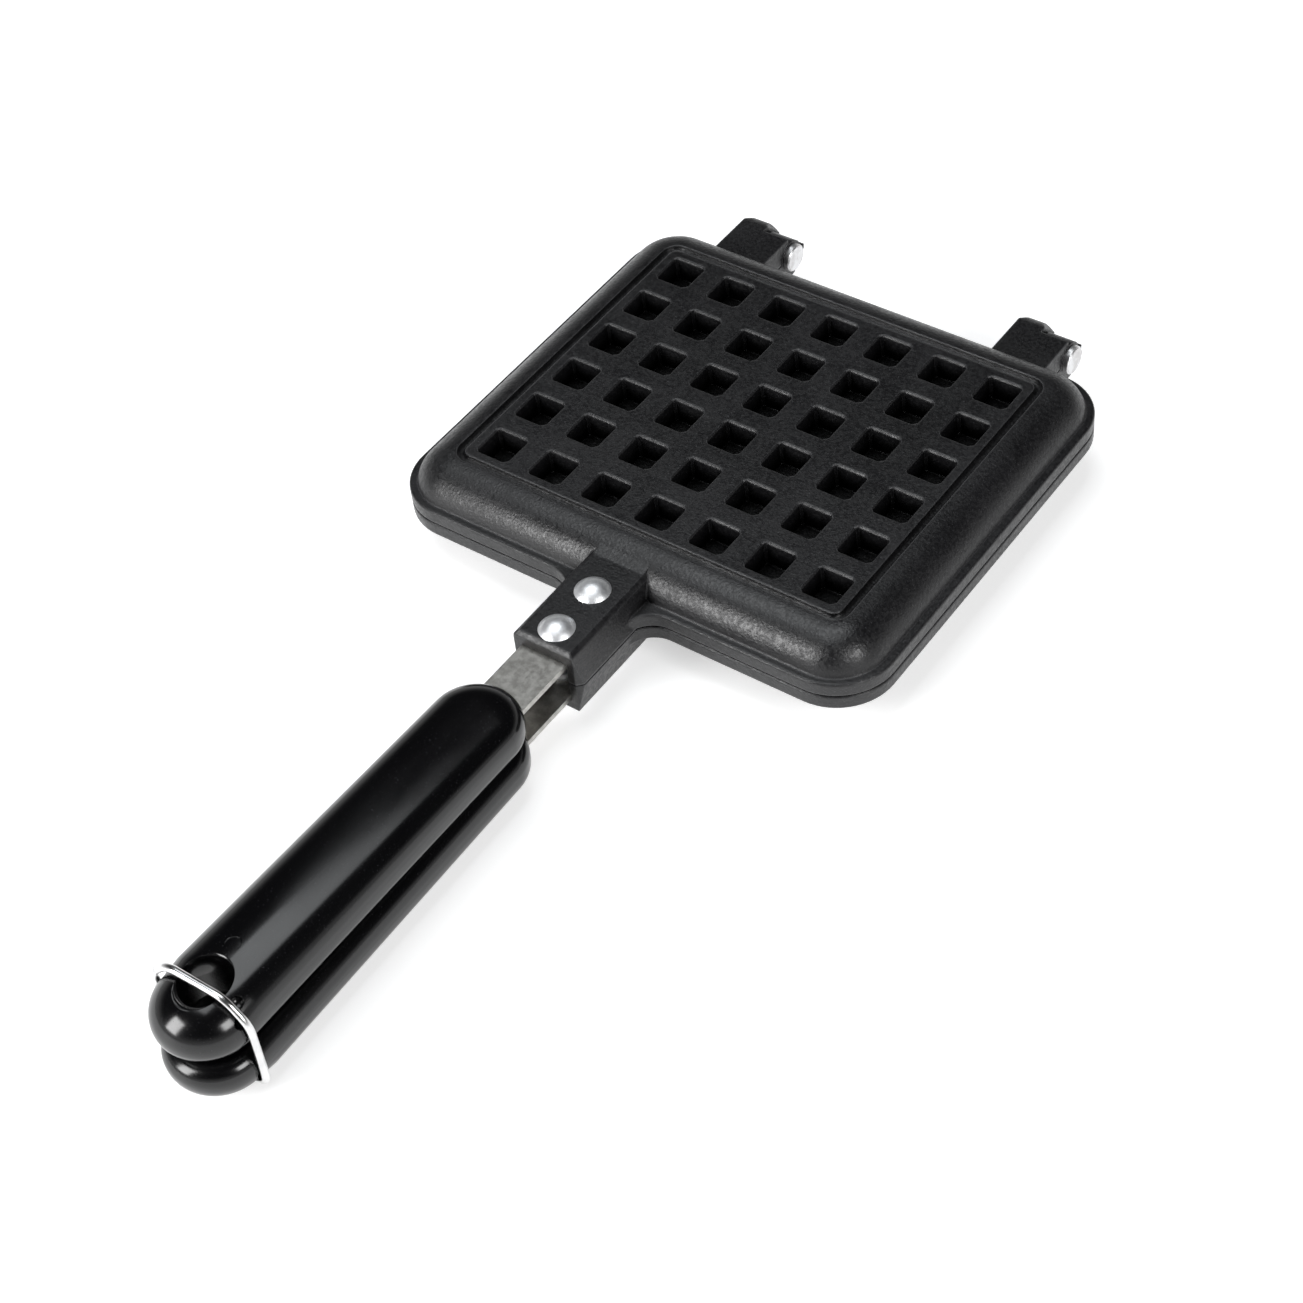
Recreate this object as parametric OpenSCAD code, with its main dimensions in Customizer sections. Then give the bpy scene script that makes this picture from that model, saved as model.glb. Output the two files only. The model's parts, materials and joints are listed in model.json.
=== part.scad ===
// Hinged stovetop waffle pan: two identical cast plates, steel handle straps, moulded grips, wire latch.
// Millimetres, +Z up. The origin is the centre of the lower plate's outside panel, on the rest plane.
// +Y points to the hinges and +X to the side that the pin heads face.

/* [Plates] */
// Width of a plate across its flange
plate_w = 145; // [130:1:165]
// Length of a plate across its flange, from the handle side to the hinge side
plate_l = 126.2; // [112:0.1:146]
// Height of one plate, from the parting plane to the outside panel
half_h = 12.5; // [11.5:0.1:15]
// Height of the upright flange band of one plate
flange_h = 4.15; // [3:0.05:5.5]
// Width of the border between the flange edge and the grooved panel
border_w = 12.95; // [12.5:0.05:16]
// Radius of the rounded shoulder
shoulder_r = 11.2; // [9.5:0.1:11.4]
// Plan corner radius of the shoulder where it meets the groove
rim_r = 3; // [2.5:0.1:5]
// Width of the groove around the panel
groove_w = 2.2; // [1.6:0.1:2.6]
// Depth of the groove around the panel
groove_d = 1.3; // [0.9:0.05:1.5]
// Thickness of the web that carries the waffle studs
web_t = 2.7; // [2.4:0.1:3.5]
// Gap left between the two closed plates
seam = 0.3; // [0.2:0.05:0.6]

/* [Waffle grid] */
// Number of pockets across the width
cols = 7; // [5:1:8]
// Number of pockets along the length
rows = 6; // [4:1:7]
// Side of a pocket's mouth on the outside panel
pocket_w = 10.5; // [8:0.1:10.6]
// Distance between the outermost pockets and the panel's edge
panel_margin = 2.35; // [2:0.05:4]
// Height of a stud above the web, inside
stud_h = 6.3; // [4:0.1:7]
// Draft angle of pockets and studs
draft = 6; // [4:0.5:7]

/* [Handle boss] */
// Height of the boss top above the parting plane
boss_h = 10.2; // [9.4:0.1:10.6]
// Width of the boss across its flat top
boss_w = 17.2; // [16.6:0.1:20]
// Extra width of the boss at the parting plane, on each side
boss_draft = 1.9; // [1:0.1:2.5]
// Length of the boss beyond the flange edge
boss_len = 26.9; // [23:0.1:36]
// Radius of the fillets between the boss and the flange
boss_fillet = 8; // [5:0.5:9]

/* [Straps and rivets] */
// Width of a handle strap
strap_w = 13.3; // [12:0.1:14]
// Thickness of a handle strap
strap_t = 1.6; // [1.2:0.1:2.2]
// Height of the outer face of a strap above the parting plane
strap_top = 6.3; // [5.6:0.1:6.6]
// Diameter of a rivet's domed head
rivet_head_d = 9.35; // [8:0.05:10]
// Height of a rivet's domed head
rivet_head_h = 2.2; // [1.6:0.1:3]
// Diameter of a rivet's shank
rivet_d = 5; // [4:0.1:5.6]
// Distance between the rivets of one strap
rivet_pitch = 14.8; // [13:0.1:15.4]
// Distance from the boss end face to the nearer rivet
rivet_edge = 6; // [5.4:0.1:6.6]

/* [Grips] */
// Length of bare strap between the boss and a grip
strap_show = 15.4; // [8:0.1:24]
// Length of a grip
grip_len = 119.8; // [105:0.1:140]
// Width of a grip at its near end
grip_w_near = 24; // [22:0.1:25]
// Width of a grip at its free end
grip_w_far = 25.6; // [25:0.1:27]
// Height of a grip above the parting plane at its near end
grip_h_near = 12.7; // [11.6:0.1:13.4]
// Height of a grip above the parting plane at its free end
grip_h_far = 15.3; // [14.8:0.1:15.8]
// Gap between a grip and the parting plane at its free end
grip_splay = 1.6; // [0.4:0.1:1.8]
// Edge radius along the near end
grip_edge_near = 7; // [4:0.1:7.5]
// Edge radius towards the free end
grip_edge_far = 9; // [8.8:0.1:9.6]
// Diameter of the hanging hole
hang_d = 12.8; // [9:0.1:13]
// Distance from the free end to the middle of the hanging hole
hang_back = 14.6; // [14.2:0.1:16]

/* [Hinges] */
// Distance from the side of a plate to the middle of the nearer hinge
hinge_inset = 28.1; // [24.6:0.1:36]
// Width of a hinge lug, both knuckles together
lug_w = 16.2; // [14:0.1:19]
// Height of a hinge lug above the parting plane
lug_h = 6.6; // [6:0.1:7.4]
// Distance from the flange edge to the pin axis
pin_back = 10.9; // [10:0.1:13]
// Diameter of a hinge pin
pin_d = 4; // [3:0.1:4.6]
// Diameter of a hinge pin's head
pin_head_d = 7.9; // [6.8:0.1:8.6]

/* [Latch wire] */
// Diameter of the latch wire
wire_d = 2; // [1.8:0.1:2.4]
// Gap between the straight legs of the latch wire and the grip
wire_gap = 0.3; // [0.3:0.05:1]
// Depth of the latch pivot below the parting plane
pivot_drop = 10.6; // [10:0.1:11.2]

/* [Hidden] */
$fn = 48;
// smallest step that keeps cutting tools clear of the faces they pass through
over = 1;
// gap between pieces that are fastened to each other
seat = 0.04;
// gap between a pin or wire and the hole that it turns in
running = 0.05;

// plates
rim_x = plate_w/2 - border_w;
rim_y = plate_l/2 - border_w;
corner_x = rim_x - rim_r;
corner_y = rim_y - rim_r;
flange_r = rim_r + border_w;
cavity_r = half_h - web_t;
shoulder_z = half_h - shoulder_r;
edge_r = 0.6;
edge_bevel = 0.35;
groove_r = groove_w/2;
groove_turn = groove_r + 2.4;
groove_floor_z = half_h - groove_d;
panel_x = rim_x - groove_w;
panel_y = rim_y - groove_w;

// waffle grid
pitch_x = (2*panel_x - 2*panel_margin - pocket_w)/(cols - 1);
pitch_y = (2*panel_y - 2*panel_margin - pocket_w)/(rows - 1);
mouth_bevel = 0.4;
pocket_round = 0.4;
stud_cap = 2.5;
stud_wall = 1.6;
web_z = half_h - web_t;
stud_z = web_z - stud_h;
pocket_floor_z = stud_z + stud_cap;
pocket_in = pocket_w/2 - mouth_bevel;
pocket_floor_w = pocket_in - (half_h - mouth_bevel - pocket_floor_z)*tan(draft);
stud_root_w = pocket_in - (half_h - mouth_bevel - web_z)*tan(draft) + stud_wall;
stud_tip_w = stud_root_w - stud_h*tan(draft);

// boss
boss_end = plate_l/2 + boss_len;
boss_bevel = 1;
boss_corner = 1.5;
boss_top_w = boss_w/2;
boss_foot_w = boss_top_w + boss_draft;
boss_root_low = corner_y + cavity_r + 0.5;
boss_meet = corner_y + rim_r + sqrt(pow(shoulder_r, 2) - pow(boss_h - shoulder_z, 2));
boss_root_top = boss_meet - 1.3;
boss_blend = 1.6;
boss_flange_w = boss_foot_w - flange_h*boss_draft/boss_h;
socket_w = strap_w/2 + 0.1;
socket_root = boss_root_low + 3;

// straps and rivets
grip_start = boss_end + strap_show;
strap_root = socket_root + 0.5;
strap_far = grip_start + grip_len - hang_back - hang_d/2 - 2;
rivet_front = boss_end - rivet_edge;
rivet_rear = rivet_front - rivet_pitch;
rivet_hole_r = rivet_d/2 + seat;
head_ball_r = (pow(rivet_head_d/2, 2) + pow(rivet_head_h, 2))/(2*rivet_head_h);
tail_h = 1.4;
tail_r = rivet_d/2 + 1.3;

// hinges
lug_x = plate_w/2 - hinge_inset;
lug_out = lug_w/2;
pin_y = plate_l/2 + pin_back;
pin_r = pin_d/2;
pin_head_r = pin_head_d/2;
pin_head_t = 1.8;
pin_tail_t = 1.1;
knuckle_gap = seam/2;
knuckle_r = pin_r + 2.8;
roof_end = pin_y - 1;
lug_root = corner_y + cavity_r + 0.6;
corner_tilt = acos(1/sqrt(3));

// grips
grip_foot = seam/2 + 0.05;
grip_end = grip_start + grip_len;
near_r = grip_w_near/2;
far_r = grip_w_far/2;
hang_y = grip_end - hang_back;
hang_r = hang_d/2;
mark_r = 2.15;
mark_x = -1;
mark_y = hang_y - hang_r - 4;
mark_depth = 0.2;
nose_edge = far_r - 0.8;
nose_shift = 5.4;
mark_z = grip_h_near + (grip_h_far - grip_h_near)*(mark_y - grip_start - near_r)
    /(grip_len - near_r - far_r - nose_shift);
dome_steps = 6;
foot_r = 4.5;
foot_steps = 4;

// latch wire
wire_r = wire_d/2;
wire_y = hang_y + 2.5;
leg_x = far_r + wire_gap + wire_r;
bar_z = grip_h_far + wire_r + 0.4;
pivot_bend_r = 2.8;
top_bend_r = 6.5;
bevel_x = leg_x*0.585;
bevel_z = bar_z - leg_x + bevel_x;
bevel_turn = atan2(leg_x - bevel_x, bar_z - bevel_z);
bevel_len = norm([leg_x - bevel_x, bar_z - bevel_z]);
leg_trim = top_bend_r*tan(bevel_turn/2);
bar_trim = top_bend_r*tan((90 - bevel_turn)/2);
wire_tip = hang_r + 1;
pivot_hole_r = wire_r + running;
pivot_hole_end = wire_tip - 0.25;
pivot_mouth_r = 1.7;
// how far a straight run of the wire reaches into the bend at each end
lap = 0.05;

// Placing. A piece is drawn once, above a parting plane at z = 0, and set in either half.
module in_upper() {
    translate([0, 0, half_h])
        children();
}

module in_lower() {
    translate([0, 0, half_h])
        rotate([0, 180, 0])
            children();
}

module both_sides() {
    children();
    mirror([1, 0, 0])
        children();
}

// Section of a plate's edge: x from the corner centre outwards, y up from the parting plane
module edge_outline() {
    square_top = flange_h - edge_r;
    polygon([
        [0, seam/2], [flange_r - edge_bevel, seam/2], [flange_r, seam/2 + edge_bevel],
        [flange_r, square_top], [flange_r - edge_r, square_top], [flange_r - edge_r, flange_h],
        [0, flange_h]
    ]);
    intersection() {
        translate([flange_r - edge_r, square_top])
            circle(r = edge_r);
        translate([flange_r - edge_r, square_top])
            square([edge_r, edge_r]);
    }
    translate([0, seam/2])
        square([rim_r, half_h - seam/2]);
    intersection() {
        translate([rim_r, shoulder_z])
            circle(r = shoulder_r);
        translate([rim_r, flange_h - edge_r])
            square([shoulder_r, half_h - flange_h + edge_r]);
    }
}

module edge_section() {
    difference() {
        edge_outline();
        circle(r = cavity_r);
    }
}

module straight_x(len) {
    rotate([90, 0, 90])
        translate([0, 0, -len/2])
            linear_extrude(height = len)
                children();
}

module straight_y(len) {
    rotate([90, 0, 0])
        translate([0, 0, -len/2])
            linear_extrude(height = len)
                children();
}

module edge_ring() {
    for (side = [0, 180]) {
        rotate([0, 0, side]) {
            translate([corner_x, 0, 0])
                straight_y(2*corner_y)
                    edge_section();
            translate([0, corner_y, 0])
                straight_x(2*corner_x)
                    edge_section();
            translate([corner_x, corner_y, 0])
                rotate_extrude(angle = 90)
                    edge_section();
            translate([-corner_x, corner_y, 0])
                rotate([0, 0, 90])
                    rotate_extrude(angle = 90)
                        edge_section();
        }
    }
}

module web() {
    translate([-corner_x, -corner_y, web_z])
        cube([2*corner_x, 2*corner_y, web_t]);
}

// Section of the groove: a round bottom with upright walls above it
module groove_section() {
    translate([0, groove_floor_z + groove_r])
        circle(r = groove_r);
    translate([-groove_r, groove_floor_z + groove_r])
        square([groove_w, groove_d - groove_r + over]);
}

module groove_corner() {
    rotate_extrude(angle = 90)
        translate([groove_turn, 0])
            groove_section();
}

module groove() {
    path_x = rim_x - groove_r;
    path_y = rim_y - groove_r;
    turn_x = path_x - groove_turn;
    turn_y = path_y - groove_turn;
    for (side = [0, 180]) {
        rotate([0, 0, side]) {
            translate([path_x, 0, 0])
                straight_y(2*turn_y)
                    groove_section();
            translate([0, path_y, 0])
                straight_x(2*turn_x)
                    groove_section();
            translate([turn_x, turn_y, 0])
                groove_corner();
            translate([-turn_x, turn_y, 0])
                rotate([0, 0, 90])
                    groove_corner();
        }
    }
}

// Rows of long tapered bars; two crossing rows meet in one block for each pocket or stud
module bar_row(count, pitch) {
    for (i = [0 : count - 1])
        translate([(i - (count - 1)/2)*pitch, 0])
            children();
}

module crossed(reach_x, reach_y) {
    intersection() {
        straight_y(2*reach_y)
            bar_row(cols, pitch_x)
                children();
        straight_x(2*reach_x)
            bar_row(rows, pitch_y)
                children();
    }
}

module pocket_section() {
    polygon([
        [-pocket_floor_w, pocket_floor_z], [pocket_floor_w, pocket_floor_z],
        [pocket_in, half_h - mouth_bevel], [pocket_w/2, half_h], [pocket_w/2, half_h + over],
        [-pocket_w/2, half_h + over], [-pocket_w/2, half_h], [-pocket_in, half_h - mouth_bevel]
    ]);
}

module stud_section() {
    polygon([
        [-stud_tip_w, stud_z], [stud_tip_w, stud_z],
        [stud_root_w, web_z], [stud_root_w, half_h - over], [-stud_root_w, half_h - over],
        [-stud_root_w, web_z]
    ]);
}

// A cone for each pocket rounds off its four upright corners
module pocket_rounds() {
    diagonal = sqrt(2);
    flare = diagonal*(pocket_in - pocket_floor_w)/(half_h - mouth_bevel - pocket_floor_z);
    len = half_h + over - pocket_floor_z;
    floor_r = diagonal*pocket_floor_w - pocket_round;
    for (i = [0 : cols - 1])
        for (j = [0 : rows - 1])
            translate([(i - (cols - 1)/2)*pitch_x, (j - (rows - 1)/2)*pitch_y, pocket_floor_z - over])
                cylinder(h = len + over, r1 = floor_r - over*flare, r2 = floor_r + len*flare);
}

module pockets() {
    intersection() {
        crossed(panel_x, panel_y)
            pocket_section();
        pocket_rounds();
    }
}

module studs() {
    crossed(panel_x, panel_y)
        stud_section();
}

// Boss that takes the handle strap
module boss_front_view() {
    slope = boss_draft*boss_bevel/boss_h;
    polygon([
        [-boss_foot_w, seam/2], [boss_foot_w, seam/2],
        [boss_top_w + slope, boss_h - boss_bevel], [boss_top_w - boss_bevel, boss_h],
        [boss_bevel - boss_top_w, boss_h], [-boss_top_w - slope, boss_h - boss_bevel]
    ]);
}

module boss_side_view() {
    polygon([
        [-boss_end, seam/2], [-boss_end, boss_h - boss_bevel], [boss_bevel - boss_end, boss_h],
        [-boss_root_top, boss_h], [-boss_root_low, seam/2]
    ]);
}

// Ramp that leads the boss's top into the rounded shoulder
module boss_ramp() {
    turn = asin((boss_h - shoulder_z)/shoulder_r) + boss_blend/shoulder_r*180/PI;
    ramp_y = corner_y + rim_r + shoulder_r*cos(turn);
    ramp_z = shoulder_z + shoulder_r*sin(turn);
    straight_x(2*(boss_top_w - boss_bevel))
        polygon([
            [-boss_meet - boss_blend, boss_h], [-ramp_y, ramp_z], [over - ramp_y, ramp_z - over],
            [-boss_meet - boss_blend, boss_h - over/2]
        ]);
}

module boss_top_view() {
    front_w = boss_foot_w - boss_corner;
    polygon([
        [-front_w, -boss_end], [front_w, -boss_end],
        [boss_foot_w, boss_corner - boss_end], [boss_foot_w + over, -boss_root_low],
        [-boss_foot_w - over, -boss_root_low], [-boss_foot_w, boss_corner - boss_end]
    ]);
}

module boss() {
    intersection() {
        straight_y(2*(boss_end + over))
            boss_front_view();
        straight_x(2*(boss_foot_w + over))
            boss_side_view();
        linear_extrude(height = half_h)
            boss_top_view();
    }
    boss_ramp();
    both_sides()
        boss_web();
}

// The flange's own edge, carried round the inner corner between flange and boss
module boss_web_section() {
    reach = boss_fillet*(sqrt(2) - 1) + 0.6;
    square_top = flange_h - edge_r;
    polygon([
        [boss_fillet + reach, seam/2], [boss_fillet + edge_bevel, seam/2],
        [boss_fillet, seam/2 + edge_bevel], [boss_fillet, square_top],
        [boss_fillet + edge_r, square_top], [boss_fillet + edge_r, flange_h],
        [boss_fillet + reach, flange_h]
    ]);
    intersection() {
        translate([boss_fillet + edge_r, square_top])
            circle(r = edge_r);
        translate([boss_fillet, square_top])
            square([edge_r, edge_r]);
    }
}

module boss_web() {
    translate([boss_flange_w + boss_fillet, -plate_l/2 - boss_fillet, 0])
        rotate([0, 0, 90])
            rotate_extrude(angle = 90)
                boss_web_section();
}

module socket() {
    translate([-socket_w, -boss_end - over, -over])
        cube([2*socket_w, boss_end + over - socket_root, strap_top + seat + over]);
}

module rivet_holes() {
    for (y = [rivet_front, rivet_rear])
        translate([0, -y, 0])
            cylinder(r = rivet_hole_r, h = boss_h + over);
}

// Hinge. Every plate has a knuckle on the left half of each lug, and an open roof on the right half.
module along_x(r, from, to) {
    translate([from, 0, 0])
        rotate([0, 90, 0])
            cylinder(r = r, h = to - from);
}

module corner_cut(side, x, back, size) {
    translate([x, back, lug_h])
        rotate([0, side*corner_tilt, side*45])
            translate([-size, -size, 0])
                cube([2*size, 2*size, size]);
}

module knuckle() {
    cut_size = 2*lug_h;
    difference() {
        union() {
            translate([-lug_out, lug_root, seam/2])
                cube([lug_out - knuckle_gap, pin_y - lug_root, lug_h - seam/2]);
            translate([0, pin_y, 0]) {
                along_x(knuckle_r, -lug_out, -knuckle_gap);
                intersection() {
                    along_x(lug_h, -lug_out, -knuckle_gap);
                    translate([-lug_w, 0, 0])
                        cube([2*lug_w, lug_w, lug_w]);
                }
            }
        }
        corner_cut(1, -knuckle_gap, roof_end + 1.9, cut_size);
        corner_cut(-1, -lug_out, roof_end + 2.2, cut_size);
    }
}

module roof() {
    translate([-knuckle_gap, lug_root, seam/2])
        cube([lug_out + knuckle_gap, roof_end - lug_root, lug_h - seam/2]);
}

module lugs() {
    for (x = [-lug_x, lug_x])
        translate([x, 0, 0]) {
            knuckle();
            roof();
        }
}

module lug_cuts() {
    for (x = [-lug_x, lug_x])
        translate([x, pin_y, 0]) {
            along_x(pin_r + running, -lug_out - over, over);
            along_x(knuckle_r + seam, -knuckle_gap, lug_out + over);
        }
}

module half_plate() {
    difference() {
        union() {
            edge_ring();
            web();
            studs();
            boss();
            lugs();
        }
        pockets();
        groove();
        socket();
        rivet_holes();
        lug_cuts();
    }
}

module upper_plate() {
    color([0.17, 0.17, 0.18])
        in_upper()
            half_plate();
}

module lower_plate() {
    color([0.17, 0.17, 0.18])
        in_lower()
            half_plate();
}

// Hinge pins, headed at the right and peened at the left
module hinge_pin(x) {
    tail_top = -lug_out - seat;
    bevel = 0.4;
    color([0.8, 0.8, 0.82])
        translate([x, pin_y, half_h])
            rotate([0, 90, 0])
                rotate_extrude()
                    polygon([
                        [0, tail_top - pin_tail_t], [pin_r, tail_top - pin_tail_t],
                        [pin_r + 1, tail_top - bevel], [pin_r + 1, tail_top], [pin_r, tail_top],
                        [pin_r, lug_out + seat], [pin_head_r, lug_out + seat],
                        [pin_head_r, lug_out + pin_head_t - bevel],
                        [pin_head_r - bevel, lug_out + pin_head_t], [0, lug_out + pin_head_t]
                    ]);
}

module left_hinge_pin() {
    hinge_pin(-lug_x);
}

module right_hinge_pin() {
    hinge_pin(lug_x);
}

// Straps
module strap() {
    translate([0, 0, strap_top - strap_t])
        linear_extrude(height = strap_t)
            difference() {
                union() {
                    translate([-strap_w/2, strap_w/2 - strap_far])
                        square([strap_w, strap_far - strap_root - strap_w/2]);
                    translate([0, strap_w/2 - strap_far])
                        circle(r = strap_w/2);
                }
                for (y = [rivet_front, rivet_rear])
                    translate([0, -y])
                        circle(r = rivet_hole_r);
            }
}

module upper_strap() {
    color([0.6, 0.6, 0.6])
        in_upper()
            strap();
}

module lower_strap() {
    color([0.6, 0.6, 0.6])
        in_lower()
            strap();
}

// Rivets: a dome on the boss, a shank through boss and strap, and a flat tail under the strap
module rivet(y) {
    tail_z = strap_top - strap_t - seat;
    translate([0, -y, 0])
        rotate_extrude() {
            polygon([
                [0, tail_z - tail_h], [tail_r - tail_h/2, tail_z - tail_h],
                [tail_r, tail_z - tail_h/2], [tail_r, tail_z], [rivet_d/2, tail_z],
                [rivet_d/2, boss_h + seat + rivet_head_h/2], [0, boss_h + seat + rivet_head_h/2]
            ]);
            intersection() {
                translate([0, boss_h + seat + rivet_head_h - head_ball_r])
                    circle(r = head_ball_r);
                translate([0, boss_h + seat])
                    square([rivet_head_d, rivet_head_h + over]);
            }
        }
}

module upper_front_rivet() {
    color([0.85, 0.85, 0.87])
        in_upper()
            rivet(rivet_front);
}

module upper_rear_rivet() {
    color([0.85, 0.85, 0.87])
        in_upper()
            rivet(rivet_rear);
}

module lower_front_rivet() {
    color([0.85, 0.85, 0.87])
        in_lower()
            rivet(rivet_front);
}

module lower_rear_rivet() {
    color([0.85, 0.85, 0.87])
        in_lower()
            rivet(rivet_rear);
}

// Grips: one rounded body from a near form to a domed far form, moulded around the strap
module grip_form(r, foot, top, edge_in, edge_up) {
    rise = top - edge_up;
    sheet = 0.02;
    for (i = [1 : foot_steps])
        translate([0, 0, foot + foot_r*(1 - sin(90*i/foot_steps))])
            cylinder(r = r - foot_r*(1 - cos(90*i/foot_steps)), h = sheet);
    translate([0, 0, foot + foot_r])
        cylinder(r = r, h = max(rise - foot - foot_r, sheet));
    for (i = [1 : dome_steps])
        translate([0, 0, rise + edge_up*sin(90*i/dome_steps) - sheet])
            cylinder(r = r - edge_in*(1 - cos(90*i/dome_steps)), h = sheet);
}

module grip_body() {
    hull() {
        translate([0, -grip_start - near_r, 0])
            grip_form(near_r, grip_foot, grip_h_near, grip_edge_near, grip_edge_near);
        translate([0, nose_shift + far_r - grip_end, 0])
            grip_form(far_r, grip_splay, grip_h_far, grip_edge_far, grip_edge_far);
        translate([0, far_r - grip_end, 0])
            grip_form(far_r, grip_splay, grip_h_far, nose_edge, grip_edge_far);
    }
}

module pivot_hole() {
    lift = pivot_drop - grip_h_far + grip_edge_far;
    surface_x = far_r - grip_edge_far + sqrt(pow(grip_edge_far, 2) - pow(lift, 2));
    mouth_x = surface_x - 0.9;
    translate([0, -wire_y, pivot_drop])
        rotate([0, 90, 0])
            rotate_extrude()
                polygon([
                    [0, pivot_hole_end], [pivot_hole_r, pivot_hole_end],
                    [pivot_hole_r, mouth_x - 1], [pivot_mouth_r, mouth_x],
                    [pivot_mouth_r, far_r + over], [0, far_r + over]
                ]);
}

module hang_hole() {
    rim = 0.8;
    translate([0, -hang_y, 0])
        rotate_extrude()
            polygon([
                [0, -over], [hang_r, -over], [hang_r, grip_h_far - 2*rim],
                [hang_r + rim, grip_h_far - rim/2], [hang_r + 2*rim, grip_h_far + rim],
                [0, grip_h_far + rim]
            ]);
}

module grip() {
    difference() {
        grip_body();
        translate([-strap_w/2 - seat, -strap_far - seat, strap_top - strap_t - seat])
            cube([strap_w + 2*seat, strap_far + seat - grip_start + over, strap_t + 2*seat]);
        hang_hole();
        translate([mark_x, -mark_y, mark_z - mark_depth])
            cylinder(r = mark_r, h = grip_h_far);
        both_sides()
            pivot_hole();
    }
}

module upper_grip() {
    color([0.07, 0.07, 0.08])
        in_upper()
            grip();
}

module lower_grip() {
    color([0.07, 0.07, 0.08])
        in_lower()
            grip();
}

// Latch wire, drawn for its right half in the plane of its legs
module rod(x, z, turn, len) {
    translate([x, 0, z])
        rotate([0, turn, 0])
            translate([0, 0, -lap])
                cylinder(r = wire_r - lap/5, h = len + 2*lap);
}

module bend(r, x, z, from, turn) {
    translate([x, 0, z])
        rotate([90, 0, 0])
            rotate([0, 0, from])
                rotate_extrude(angle = turn)
                    translate([r, 0])
                        circle(r = wire_r);
}

module half_latch() {
    leg_top = bevel_z - leg_trim;
    bevel_start_x = leg_x - leg_trim*sin(bevel_turn);
    bevel_start_z = bevel_z + leg_trim*cos(bevel_turn);
    rod(wire_tip, -pivot_drop, 90, leg_x - pivot_bend_r - wire_tip);
    bend(pivot_bend_r, leg_x - pivot_bend_r, pivot_bend_r - pivot_drop, -90, 90);
    rod(leg_x, pivot_bend_r - pivot_drop, 0, leg_top + pivot_drop - pivot_bend_r);
    bend(top_bend_r, leg_x - top_bend_r, leg_top, 0, bevel_turn);
    rod(bevel_start_x, bevel_start_z, -bevel_turn, bevel_len - leg_trim - bar_trim);
    bend(top_bend_r, bevel_x - bar_trim, bar_z - top_bend_r, bevel_turn, 90 - bevel_turn);
}

module latch_wire() {
    color([0.85, 0.85, 0.86])
        translate([0, -wire_y, half_h]) {
            for (side = [0, 180])
                rotate([0, 0, side])
                    half_latch();
            rod(bar_trim - bevel_x, bar_z, 90, 2*(bevel_x - bar_trim));
        }
}

upper_plate();
lower_plate();
left_hinge_pin();
right_hinge_pin();
upper_strap();
lower_strap();
upper_front_rivet();
upper_rear_rivet();
lower_front_rivet();
lower_rear_rivet();
upper_grip();
lower_grip();
latch_wire();
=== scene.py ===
import json
import math

import bmesh
import bpy
from mathutils import Matrix, Vector
from mathutils.bvhtree import BVHTree


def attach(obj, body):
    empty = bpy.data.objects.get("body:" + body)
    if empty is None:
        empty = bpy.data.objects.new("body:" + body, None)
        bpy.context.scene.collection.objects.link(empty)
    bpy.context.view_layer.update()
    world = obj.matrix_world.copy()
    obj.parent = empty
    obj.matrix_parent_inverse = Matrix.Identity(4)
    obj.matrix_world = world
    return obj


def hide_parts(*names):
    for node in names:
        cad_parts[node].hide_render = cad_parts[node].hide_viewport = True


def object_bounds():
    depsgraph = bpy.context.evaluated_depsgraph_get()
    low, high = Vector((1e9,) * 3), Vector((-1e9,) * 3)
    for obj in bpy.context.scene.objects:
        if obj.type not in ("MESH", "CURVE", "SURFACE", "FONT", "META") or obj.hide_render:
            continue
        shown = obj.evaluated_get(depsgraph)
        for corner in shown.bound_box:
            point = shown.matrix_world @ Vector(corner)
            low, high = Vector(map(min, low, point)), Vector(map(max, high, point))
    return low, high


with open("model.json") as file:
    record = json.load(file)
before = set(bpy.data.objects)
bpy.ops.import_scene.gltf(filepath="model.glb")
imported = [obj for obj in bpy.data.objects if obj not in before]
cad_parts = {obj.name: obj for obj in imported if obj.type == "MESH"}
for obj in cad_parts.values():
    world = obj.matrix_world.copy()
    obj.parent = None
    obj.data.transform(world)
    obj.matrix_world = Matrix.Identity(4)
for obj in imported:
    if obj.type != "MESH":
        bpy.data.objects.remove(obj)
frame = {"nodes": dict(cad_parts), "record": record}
nodes = frame["nodes"]
scene = bpy.context.scene
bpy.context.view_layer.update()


def mm(x, y, z):
    return Vector((x, y, z)) / 1000


# Camera: the photograph's own place and angle, worked out from the grid of pockets
camera_data = bpy.data.cameras.new("camera")
camera_data.sensor_width = 36
camera_data.lens = 73.0
camera_data.clip_start = 0.01
camera_data.clip_end = 20
camera = bpy.data.objects.new("camera", camera_data)
right = Vector((0.8134168, 0.5756796, -0.0833430))
up = Vector((-0.3739563, 0.6272871, 0.6831307))
back = Vector((0.4455444, -0.5245034, 0.7255249))
turn = Matrix((right, up, back)).transposed().to_4x4()
camera.matrix_world = Matrix.Translation(mm(305.27, -409.29, 480.18)) @ turn
scene.collection.objects.link(camera)
scene.camera = camera
scene.view_settings.view_transform = "Standard"


# Materials. Lengths inside them are in metres, and noise scales are per metre.
# Near black painted into hollows as painted shade, where shade falls in pockets, holes and gaps.
HOLLOW_SHADE = (0.0012, 0.0012, 0.0012)


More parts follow.
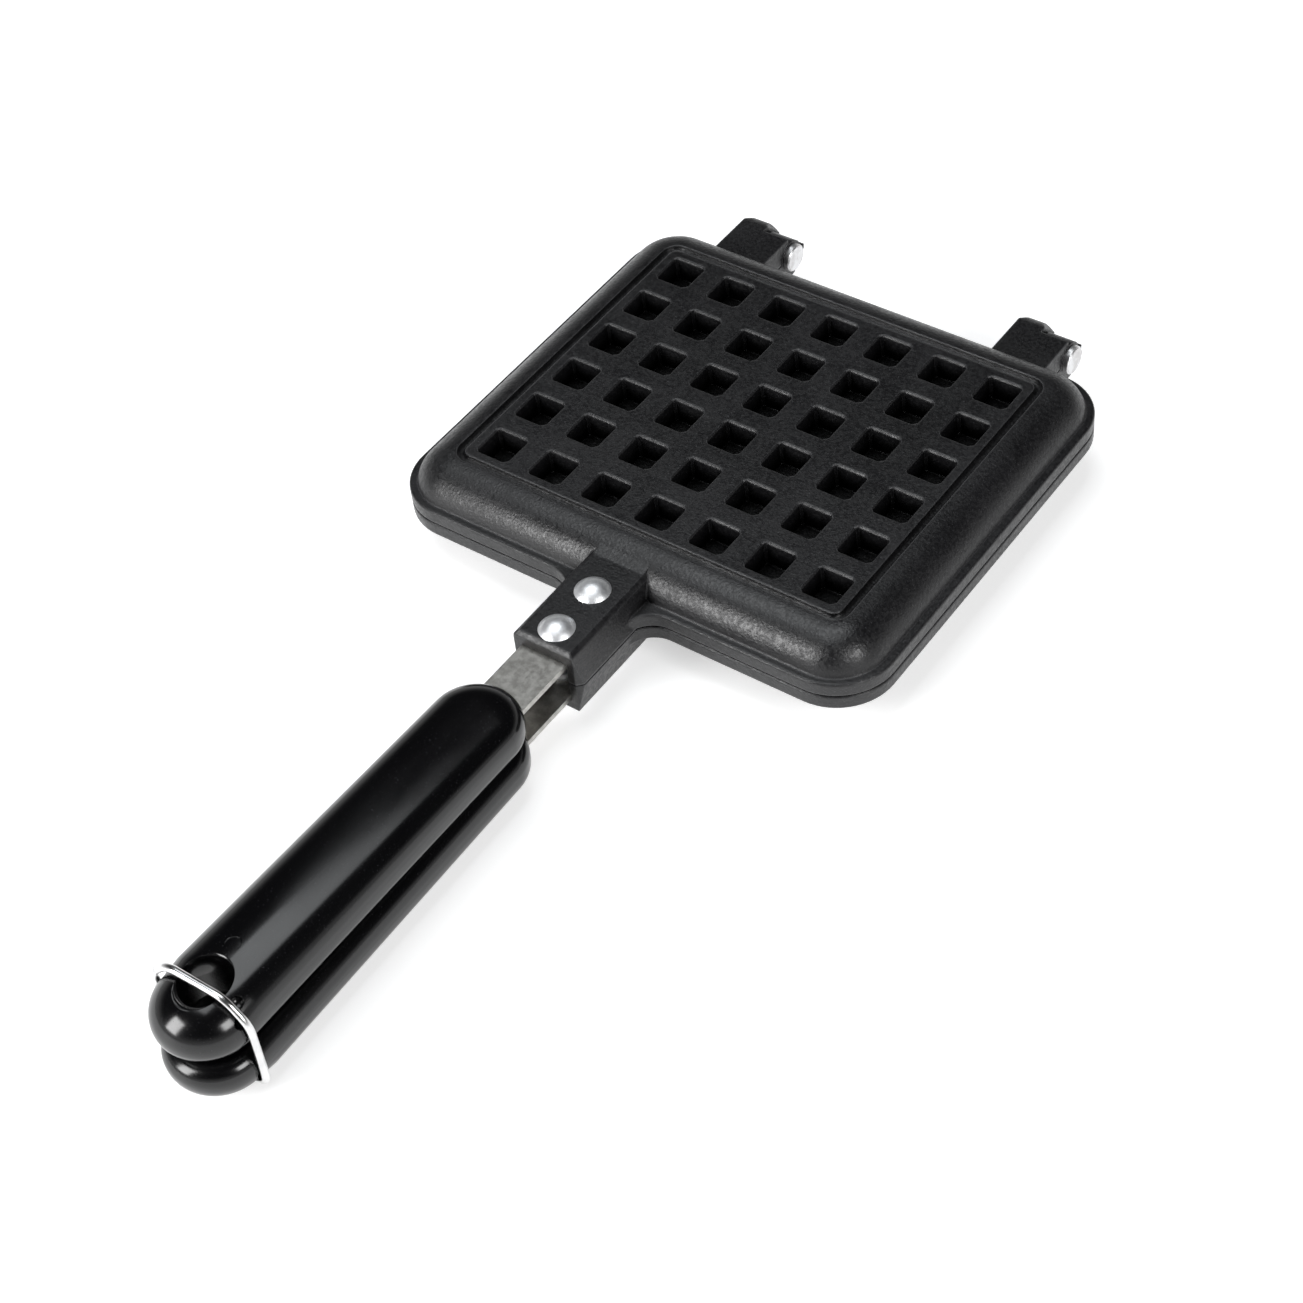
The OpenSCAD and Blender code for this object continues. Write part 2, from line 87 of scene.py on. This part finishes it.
class Paint:
    """A material with a Principled BSDF, built from small procedural layers.

    The plain color, metallic and roughness hold wherever no layer is linked over them.
    """

    def __init__(self, name, color, metallic, roughness, **sockets):
        self.material = bpy.data.materials.new(name)
        self.material.use_nodes = True
        self.tree = self.material.node_tree
        self.bsdf = self.tree.nodes["Principled BSDF"]
        self.bsdf.inputs["Base Color"].default_value = (*color, 1)
        self.bsdf.inputs["Metallic"].default_value = metallic
        self.bsdf.inputs["Roughness"].default_value = roughness
        for key, value in sockets.items():
            self.bsdf.inputs[key.replace("_", " ")].default_value = value
        self.place = self.tree.nodes.new("ShaderNodeTexCoord").outputs["Object"]
        self.normal = None

    def node(self, kind, **inputs):
        made = self.tree.nodes.new(kind)
        for key, value in inputs.items():
            self.feed(made.inputs[key.replace("_", " ")], value)
        return made

    def feed(self, socket, value):
        if isinstance(value, bpy.types.NodeSocket):
            self.tree.links.new(value, socket)
        else:
            socket.default_value = value

    def stretched(self, scale, turned=0.0):
        mapping = self.node("ShaderNodeMapping", Vector=self.place, Scale=scale)
        mapping.inputs["Rotation"].default_value = (0, 0, turned)
        return mapping.outputs["Vector"]

    def noise(self, scale, detail, rough, place=None):
        made = self.node("ShaderNodeTexNoise", Vector=place or self.place, Scale=scale,
                         Detail=detail, Roughness=rough)
        return made.outputs["Fac"]

    def cells(self, scale):
        made = self.node("ShaderNodeTexVoronoi", Vector=self.place, Scale=scale)
        return made.outputs["Distance"]

    def remap(self, value, low, high, to_low=0.0, to_high=1.0):
        made = self.node("ShaderNodeMapRange")
        made.interpolation_type = "SMOOTHSTEP"
        for key, number in (("Value", value), ("From Min", low), ("From Max", high),
                            ("To Min", to_low), ("To Max", to_high)):
            self.feed(made.inputs[key], number)
        return made.outputs["Result"]

    def math(self, operation, a, b):
        made = self.node("ShaderNodeMath")
        made.operation = operation
        for socket, value in zip(made.inputs, (a, b)):
            self.feed(socket, value)
        return made.outputs["Value"]

    def mix(self, factor, a, b):
        """Mixes colours. The node's sockets share names, so they are taken by number."""
        made = self.node("ShaderNodeMix")
        made.data_type = "RGBA"
        self.feed(made.inputs[0], factor)
        for socket, value in zip((made.inputs[6], made.inputs[7]), (a, b)):
            self.feed(socket, (*value, 1) if isinstance(value, tuple) else value)
        return made.outputs[2]

    def soften(self, radius):
        made = self.node("ShaderNodeBevel", Radius=radius)
        made.samples = 6
        self.normal = made.outputs["Normal"]

    def bump(self, height, distance, strength):
        made = self.node("ShaderNodeBump", Height=height, Distance=distance, Strength=strength)
        if self.normal is not None:
            self.feed(made.inputs["Normal"], self.normal)
        self.normal = made.outputs["Normal"]

    def edges(self, low, high):
        """1 on the softened edges, found where soften() has turned the surface."""
        made = self.node("ShaderNodeVectorMath")
        made.operation = "DOT_PRODUCT"
        self.feed(made.inputs[0], self.normal)
        self.feed(made.inputs[1], self.node("ShaderNodeNewGeometry").outputs["Normal"])
        return self.remap(self.math("SUBTRACT", 1.0, made.outputs["Value"]), low, high)

    def painted_hollow_shade(self, reach, low, high):
        """A mask for painted shade: 1 where the surface lies open and 0 in a hollow, where the
        surface is also kept from mirroring as painted shade.
        """
        made = self.node("ShaderNodeAmbientOcclusion", Distance=reach)
        made.samples = 8
        unshaded = self.remap(made.outputs["AO"], low, high)
        self.feed(self.bsdf.inputs["Metallic"], self.remap(unshaded, 0.0, 1.0, 1.0, 0.0))
        return unshaded

    def finish(self, color, roughness=None):
        self.feed(self.bsdf.inputs["Base Color"], color)
        if roughness is not None:
            self.feed(self.bsdf.inputs["Roughness"], roughness)
        if self.normal is not None:
            self.feed(self.bsdf.inputs["Normal"], self.normal)
        return self.material


def coated_plate():
    """Cast aluminium under a dark satin coat, with painted highlights along its edges and painted
    shade in its hollows.
    """
    p = Paint("coated_plate", (0.03, 0.03, 0.032), 0.0, 0.36, IOR=1.5)
    p.soften(0.0009)
    # Painted highlight: the softened edges are made lighter, as where the lights catch them.
    edge_highlight = p.edges(0.03, 0.22)
    peel = p.noise(900, detail=3, rough=0.6)
    grit = p.cells(1500)
    lumps = p.noise(120, detail=2, rough=0.5)
    p.bump(lumps, distance=0.0006, strength=0.05)
    p.bump(peel, distance=0.0003, strength=0.22)
    p.bump(grit, distance=0.00012, strength=0.3)
    cloud = p.remap(p.noise(35, detail=3, rough=0.6), 0.3, 0.7)
    fleck = p.remap(p.noise(2300, detail=1, rough=0.5), 0.67, 0.72)
    # Painted shade: the pockets and other hollows are darkened and stop mirroring.
    unshaded = p.painted_hollow_shade(0.009, 0.36, 0.66)
    base = p.mix(cloud, (0.0042, 0.0042, 0.0048), (0.0066, 0.0064, 0.0074))
    base = p.mix(p.math("MULTIPLY", fleck, 0.4), base, (0.07, 0.07, 0.075))
    # Painted highlight along the edges.
    base = p.mix(p.math("MULTIPLY", edge_highlight, 0.7), base, (0.085, 0.085, 0.09))
    # The hollows take the painted shade colour.
    base = p.mix(unshaded, HOLLOW_SHADE, base)
    rough = p.remap(p.noise(60, detail=4, rough=0.65), 0.25, 0.75, 0.34, 0.45)
    fine = p.remap(p.noise(1100, detail=2, rough=0.5), 0.35, 0.65, -0.07, 0.07)
    return p.finish(base, p.math("ADD", rough, fine))


def bright_rivet():
    """Pressed aluminium domes with shallow dents and fine scratches."""
    p = Paint("rivet_aluminium", (0.8, 0.81, 0.83), 1.0, 0.3)
    dents = p.noise(700, detail=3, rough=0.6)
    p.bump(dents, distance=0.0004, strength=0.05)
    scratches = p.noise(900, detail=2, rough=0.5, place=p.stretched((1, 9, 1), 0.6))
    base = p.mix(p.remap(dents, 0.4, 0.62), (0.78, 0.79, 0.81), (0.88, 0.89, 0.9))
    return p.finish(base, p.remap(scratches, 0.35, 0.7, 0.4, 0.5))


def strap_steel():
    """Rolled grey steel, mottled, with its grain along the strap."""
    p = Paint("strap_steel", (0.5, 0.49, 0.47), 1.0, 0.32)
    p.soften(0.0002)
    grain = p.noise(1900, detail=3, rough=0.6, place=p.stretched((1, 0.3, 1)))
    p.bump(grain, distance=0.0001, strength=0.12)
    cloud = p.remap(p.noise(420, detail=4, rough=0.65), 0.35, 0.65)
    base = p.mix(cloud, (0.34, 0.33, 0.31), (0.49, 0.48, 0.455))
    return p.finish(base, p.remap(grain, 0.3, 0.7, 0.3, 0.42))


def pin_steel():
    """Bright steel pins with dull stains."""
    p = Paint("pin_steel", (0.7, 0.7, 0.71), 1.0, 0.25)
    p.soften(0.00015)
    grain = p.noise(1200, detail=2, rough=0.5)
    p.bump(grain, distance=0.0001, strength=0.06)
    stain = p.noise(260, detail=4, rough=0.6)
    base = p.mix(p.remap(stain, 0.42, 0.62), (0.78, 0.78, 0.79), (0.64, 0.63, 0.63))
    return p.finish(base, p.remap(stain, 0.3, 0.7, 0.36, 0.48))


def wire_steel():
    """Polished wire with drawing marks along it."""
    p = Paint("wire_steel", (0.85, 0.85, 0.85), 1.0, 0.13)
    draw = p.noise(1500, detail=2, rough=0.5, place=p.stretched((0.2, 1, 1)))
    p.bump(draw, distance=0.00008, strength=0.25)
    cloud = p.remap(p.noise(160, detail=3, rough=0.5), 0.35, 0.65)
    base = p.mix(cloud, (0.6, 0.6, 0.6), (0.7, 0.7, 0.7))
    return p.finish(base, p.remap(draw, 0.3, 0.7, 0.17, 0.26))


def grip_black():
    """Glossy black moulding with slight waves, specks of dust and smears, and painted shade in its
    holes and in the gap between the grips.
    """
    p = Paint("grip", (0.006, 0.006, 0.007), 0.0, 0.14, IOR=1.5)
    waves = p.noise(55, detail=2, rough=0.4)
    p.bump(waves, distance=0.0006, strength=0.03)
    dust = p.remap(p.noise(2600, detail=1, rough=0.5), 0.7, 0.74)
    base = p.mix(p.math("MULTIPLY", dust, 0.35), (0.0022, 0.0022, 0.0026), (0.05, 0.05, 0.055))
    # Painted shade in the holes and the gap between the grips, which also stop mirroring there.
    base = p.mix(p.painted_hollow_shade(0.012, 0.2, 0.5), HOLLOW_SHADE, base)
    smear = p.noise(40, detail=4, rough=0.6, place=p.stretched((1, 0.35, 1)))
    return p.finish(base, p.remap(smear, 0.3, 0.7, 0.1, 0.2))


looks = {
    "coated_plate": coated_plate(),
    "rivet_aluminium": bright_rivet(),
    "strap_steel": strap_steel(),
    "pin_steel": pin_steel(),
    "wire_steel": wire_steel(),
    "grip": grip_black(),
}
for part in frame["record"]["subparts"]:
    thing = nodes[part["node"]]
    thing.data.materials.clear()
    thing.data.materials.append(looks[part["material_slot"]])


# Grips: the CAD's facetted hulls, drawn again with smooth curves and rolled hole rims.
# They are made in mm, with z from the plane between the two grips, and scaled at the end.
PARTING = 12.5  # height of that plane in the frame
NOSE_TOP = 15.3
HOLE_Y, HOLE_R, HOLE_RIM = -210.6, 6.4, 0.9
CRESCENT_TILT = math.radians(9)
PIVOT_Y, PIVOT_Z = -213.1, 10.6
PIVOT_MOUTH = [(0, 7.1), (1.05, 7.1), (1.05, 10.6), (1.7, 11.2), (2.0, 14), (0, 14)]
DIMPLE = [(0, -1.4), (1.55, -1.4), (1.6, -0.4), (1.75, -0.1), (2.1, 0.1), (2.7, 0.6), (0, 0.6)]
SLOT = (-6.69, -202.0, 4.66), (6.69, -100, 6.34)

# A form is a round stack given by its widest radius, its levels and its top rounding.
FOOT_R = 4.5
FORMS = (
    dict(y=-117.4, r=12.0, foot=0.2, top=12.7, edge=7.0, power=2.7),
    dict(y=-207.0, r=12.8, foot=1.6, top=NOSE_TOP, edge=9.0, power=2.5),
    dict(y=-212.4, r=12.8, foot=1.6, top=NOSE_TOP, edge=9.0, power=2.1),
)
AROUND = 160  # points round each ring of the skin
RINGS_BELOW, RINGS_ABOVE = 20, 40
BANDS, BAND_START, BAND_LENGTH = 29, -205.5, 3  # even faces along the straight middle


def profile(form, lift):
    """Radius and height of a form where its surface faces up by lift, in radians."""
    if lift >= 0:
        low, span, reach, power = form["top"] - form["edge"], form["edge"], form["r"], form["power"]
        inner = 0.0
    else:
        low, span, reach, power = form["foot"] + FOOT_R, -FOOT_R, FOOT_R, 2.0
        inner = form["r"] - FOOT_R
    a, b = max(math.cos(lift), 1e-9) * reach, max(abs(math.sin(lift)), 1e-9) * abs(span)
    q = 1 / (power - 1)
    weight = (a ** (q * power) + b ** (q * power)) ** (1 / power)
    return inner + reach * a ** q / weight, low + span * b ** q / weight


def grip_surface():
    """The hull of the three forms: for each facing, the point that reaches furthest."""
    mesh = bmesh.new()
    quarter = math.pi / 2
    lifts = [-quarter * (i / RINGS_BELOW) for i in range(RINGS_BELOW, 0, -1)]
    lifts += [-1e-7, 1e-7]
    lifts += [quarter * (i / RINGS_ABOVE) for i in range(1, RINGS_ABOVE)]
    rings = []
    for lift in lifts:
        ring = []
        for i in range(AROUND):
            turn = 2 * math.pi * (i + 0.5) / AROUND
            facing = Vector((math.cos(turn) * math.cos(lift), math.sin(turn) * math.cos(lift),
                             math.sin(lift)))
            best = None
            for form in FORMS:
                radius, height = profile(form, lift)
                point = Vector((radius * math.cos(turn), form["y"] + radius * math.sin(turn),
                                height))
                reach = point.dot(facing)
                if best is None or reach > best[0]:
                    best = (reach, point)
            ring.append(mesh.verts.new(best[1]))
        rings.append(ring)
    for lower, upper in zip(rings, rings[1:]):
        for i in range(AROUND):
            j = (i + 1) % AROUND
            mesh.faces.new((lower[i], lower[j], upper[j], upper[i]))
    mesh.faces.new(reversed(rings[0]))
    mesh.faces.new(rings[-1])
    bmesh.ops.remove_doubles(mesh, verts=mesh.verts, dist=1e-4)
    for i in range(BANDS):
        bmesh.ops.bisect_plane(mesh, geom=mesh.verts[:] + mesh.edges[:] + mesh.faces[:],
                               plane_co=(0, BAND_START + BAND_LENGTH * i, 0), plane_no=(0, 1, 0))
    return mesh


def new_object(name, mesh):
    data = bpy.data.meshes.new(name)
    mesh.to_mesh(data)
    mesh.free()
    made = bpy.data.objects.new(name, data)
    scene.collection.objects.link(made)
    return made


def turned(name, outline, middle, axis, steps=96):
    """A cutter: an outline of (radius, height) turned about an axis through middle."""
    mesh = bmesh.new()
    spin = Vector((0, 0, 1)).rotation_difference(Vector(axis)).to_matrix().to_4x4()
    rings = []
    for radius, height in outline:
        if radius < 1e-6:
            rings.append([mesh.verts.new((0, 0, height))])
        else:
            rings.append([mesh.verts.new((radius * math.cos(2 * math.pi * i / steps),
                                          radius * math.sin(2 * math.pi * i / steps), height))
                          for i in range(steps)])
    for a, b in zip(rings, rings[1:]):
        for i in range(steps):
            j = (i + 1) % steps
            if len(a) == 1:
                mesh.faces.new((a[0], b[j], b[i]))
            elif len(b) == 1:
                mesh.faces.new((a[i], a[j], b[0]))
            else:
                mesh.faces.new((a[i], a[j], b[j], b[i]))
    bmesh.ops.recalc_face_normals(mesh, faces=mesh.faces)
    mesh.transform(Matrix.Translation(middle) @ spin)
    return new_object(name, mesh)


def rolled_rim(hole_r, rim, top, depth=4, clear=8, steps=8):
    """Outline of a round hole whose rim rolls over into the surface at height top."""
    outline = [(0, -depth), (hole_r, -depth)]
    for i in range(steps + 1):
        t = math.radians(90 * i / steps)
        outline.append((hole_r + rim * (1 - math.cos(t)), top - rim + rim * math.sin(t)))
    return outline + [(hole_r + rim, top + clear), (0, top + clear)]


def ring_cutter(name, radius, thick, middle, steps=64, sides=12):
    """A cutter in the form of a thin ring, for the shallow ring pressed into the grip."""
    mesh = bmesh.new()
    loops = []
    for i in range(steps):
        turn = 2 * math.pi * i / steps
        out = Vector((math.cos(turn), math.sin(turn), 0))
        loop = []
        for j in range(sides):
            t = 2 * math.pi * j / sides
            rise = Vector((0, 0, thick * math.sin(t)))
            loop.append(mesh.verts.new(out * (radius + thick * math.cos(t)) + rise))
        loops.append(loop)
    for i in range(steps):
        a, b = loops[i], loops[(i + 1) % steps]
        for j in range(sides):
            k = (j + 1) % sides
            mesh.faces.new((a[j], b[j], b[k], a[k]))
    bmesh.ops.recalc_face_normals(mesh, faces=mesh.faces)
    mesh.transform(Matrix.Translation(middle))
    return new_object(name, mesh)


def box_cutter(name, low, high):
    mesh = bmesh.new()
    bmesh.ops.create_cube(mesh, size=1)
    size, middle = Vector(high) - Vector(low), (Vector(high) + Vector(low)) / 2
    mesh.transform(Matrix.Translation(middle) @ Matrix.Diagonal((*size, 1)))
    return new_object(name, mesh)


def cut(target, cutters):
    for tool in cutters:
        change = target.modifiers.new("cut", "BOOLEAN")
        change.operation = "DIFFERENCE"
        change.solver = "EXACT"
        change.object = tool
    bpy.context.view_layer.update()
    result = bpy.data.meshes.new_from_object(
        target.evaluated_get(bpy.context.evaluated_depsgraph_get()))
    target.modifiers.clear()
    target.data = result
    for tool in cutters:
        bpy.data.objects.remove(tool)


def shade_from(target, smooth_source, limit=0.02, alike=0.9):
    """Shades the outer skin with the uncut surface's normals, and the cuts with their own."""
    tree = BVHTree.FromBMesh(smooth_source)
    smooth_source.normal_update()
    smooth_source.faces.ensure_lookup_table()
    data = target.data
    for polygon in data.polygons:
        polygon.use_smooth = True
    loop_normals = [Vector(n.vector) for n in data.corner_normals]
    for polygon in data.polygons:
        _, facing, _, gap = tree.find_nearest(polygon.center)
        if gap > limit or facing.dot(polygon.normal) < alike:
            continue
        for loop in polygon.loop_indices:
            point = data.vertices[data.loops[loop].vertex_index].co
            near, _, face_index, _ = tree.find_nearest(point)
            total, blended = 0.0, Vector()
            for vertex in smooth_source.faces[face_index].verts:
                weight = 1 / (1e-5 + (vertex.co - near).length ** 2)
                blended += vertex.normal * weight
                total += weight
            loop_normals[loop] = (blended / total).normalized()
    data.normals_split_custom_set(loop_normals)


def grip(name, node, body, half_turn):
    """One grip. The lower one is the upper one turned half round about the handle's line."""
    clean = grip_surface()
    clean.normal_update()
    piece = new_object(name, clean.copy())
    pivot = (0, PIVOT_Y, PIVOT_Z)
    tilted = (0, -math.sin(CRESCENT_TILT), math.cos(CRESCENT_TILT))
    cut(piece, [
        turned("hole", rolled_rim(HOLE_R, HOLE_RIM, NOSE_TOP), (0, HOLE_Y, 0), (0, 0, 1)),
        ring_cutter("mark", 1.95, 0.16, (-1, -200.2, 14.98)),
        turned("pivot_a", PIVOT_MOUTH, pivot, (1, 0, 0), 64),
        turned("pivot_b", PIVOT_MOUTH, pivot, (-1, 0, 0), 64),
        turned("crescent", rolled_rim(5.2, 2.4, 0), (0, -211.6, NOSE_TOP), tilted),
        turned("dimple", DIMPLE, (9.2, -210.9, 13.45), (0.517, 0, 0.856), 48),
        box_cutter("slot", *SLOT),
    ])
    shade_from(piece, clean)
    clean.free()
    over = Matrix.Rotation(math.pi if half_turn else 0, 4, "Y")
    piece.data.transform(Matrix.Translation(mm(0, 0, PARTING)) @ over @ Matrix.Scale(0.001, 4))
    piece.data.materials.clear()
    piece.data.materials.append(looks["grip"])
    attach(piece, body)
    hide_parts(node)


grip("upper_grip_moulding", "upper_grip", "upper_half", False)
grip("lower_grip_moulding", "lower_grip", "lower_half", True)


# Floor and light: a white table under three large soft lights
def white_floor():
    p = Paint("white_floor", (0.86, 0.86, 0.86), 0.0, 0.6, Emission_Color=(1, 1, 1, 1),
              Emission_Strength=0.55)
    grain = p.remap(p.noise(14, detail=4, rough=0.6), 0.3, 0.7)
    return p.finish(p.mix(grain, (0.85, 0.85, 0.85), (0.87, 0.87, 0.87)))


FLOOR_GAP = 0.0002
floor_mesh = bmesh.new()
bmesh.ops.create_grid(floor_mesh, x_segments=2, y_segments=2, size=6)
floor = new_object("floor", floor_mesh)
floor.location = (0, 0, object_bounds()[0].z - FLOOR_GAP)
floor.data.materials.append(white_floor())


def soft_light(name, place, aim, size, power, color=(1, 1, 1)):
    data = bpy.data.lights.new(name, "AREA")
    data.shape = "RECTANGLE"
    data.size, data.size_y = size
    data.energy = power
    data.color = color
    made = bpy.data.objects.new(name, data)
    made.location = place
    made.rotation_mode = "QUATERNION"
    made.rotation_quaternion = (Vector(aim) - Vector(place)).to_track_quat("-Z", "Y")
    scene.collection.objects.link(made)


soft_light("overhead_light", (-0.36, 0.063, 1.5), aim=(-0.36, 0.063, 0), size=(1.1, 1.116),
           power=13, color=(0.95, 0.98, 1))
soft_light("front_light", (-0.372, -0.887, 0.47), aim=(0, -0.12, 0.02), size=(0.34, 0.54),
           power=8.0)
soft_light("right_light", (0.835, -0.293, 0.575), aim=(0, -0.22, 0.03), size=(0.34, 0.36),
           power=4.6)


def studio_world():
    """A pale horizon that darkens overhead, as in a room with a white table and soft lights."""
    world = bpy.data.worlds.new("studio")
    world.use_nodes = True
    tree = world.node_tree
    sky = tree.nodes["Background"]
    place = tree.nodes.new("ShaderNodeTexCoord").outputs["Generated"]
    split = tree.nodes.new("ShaderNodeSeparateXYZ")
    fade = tree.nodes.new("ShaderNodeMapRange")
    fade.interpolation_type = "SMOOTHSTEP"
    tree.links.new(place, split.inputs[0])
    tree.links.new(split.outputs["Z"], fade.inputs["Value"])
    for key, value in (("From Min", 0.05), ("From Max", 0.42),
                       ("To Min", 0.75), ("To Max", 0.015)):
        fade.inputs[key].default_value = value
    tree.links.new(fade.outputs["Result"], sky.inputs["Strength"])
    sky.inputs["Color"].default_value = (1, 1, 1, 1)
    scene.world = world


studio_world()
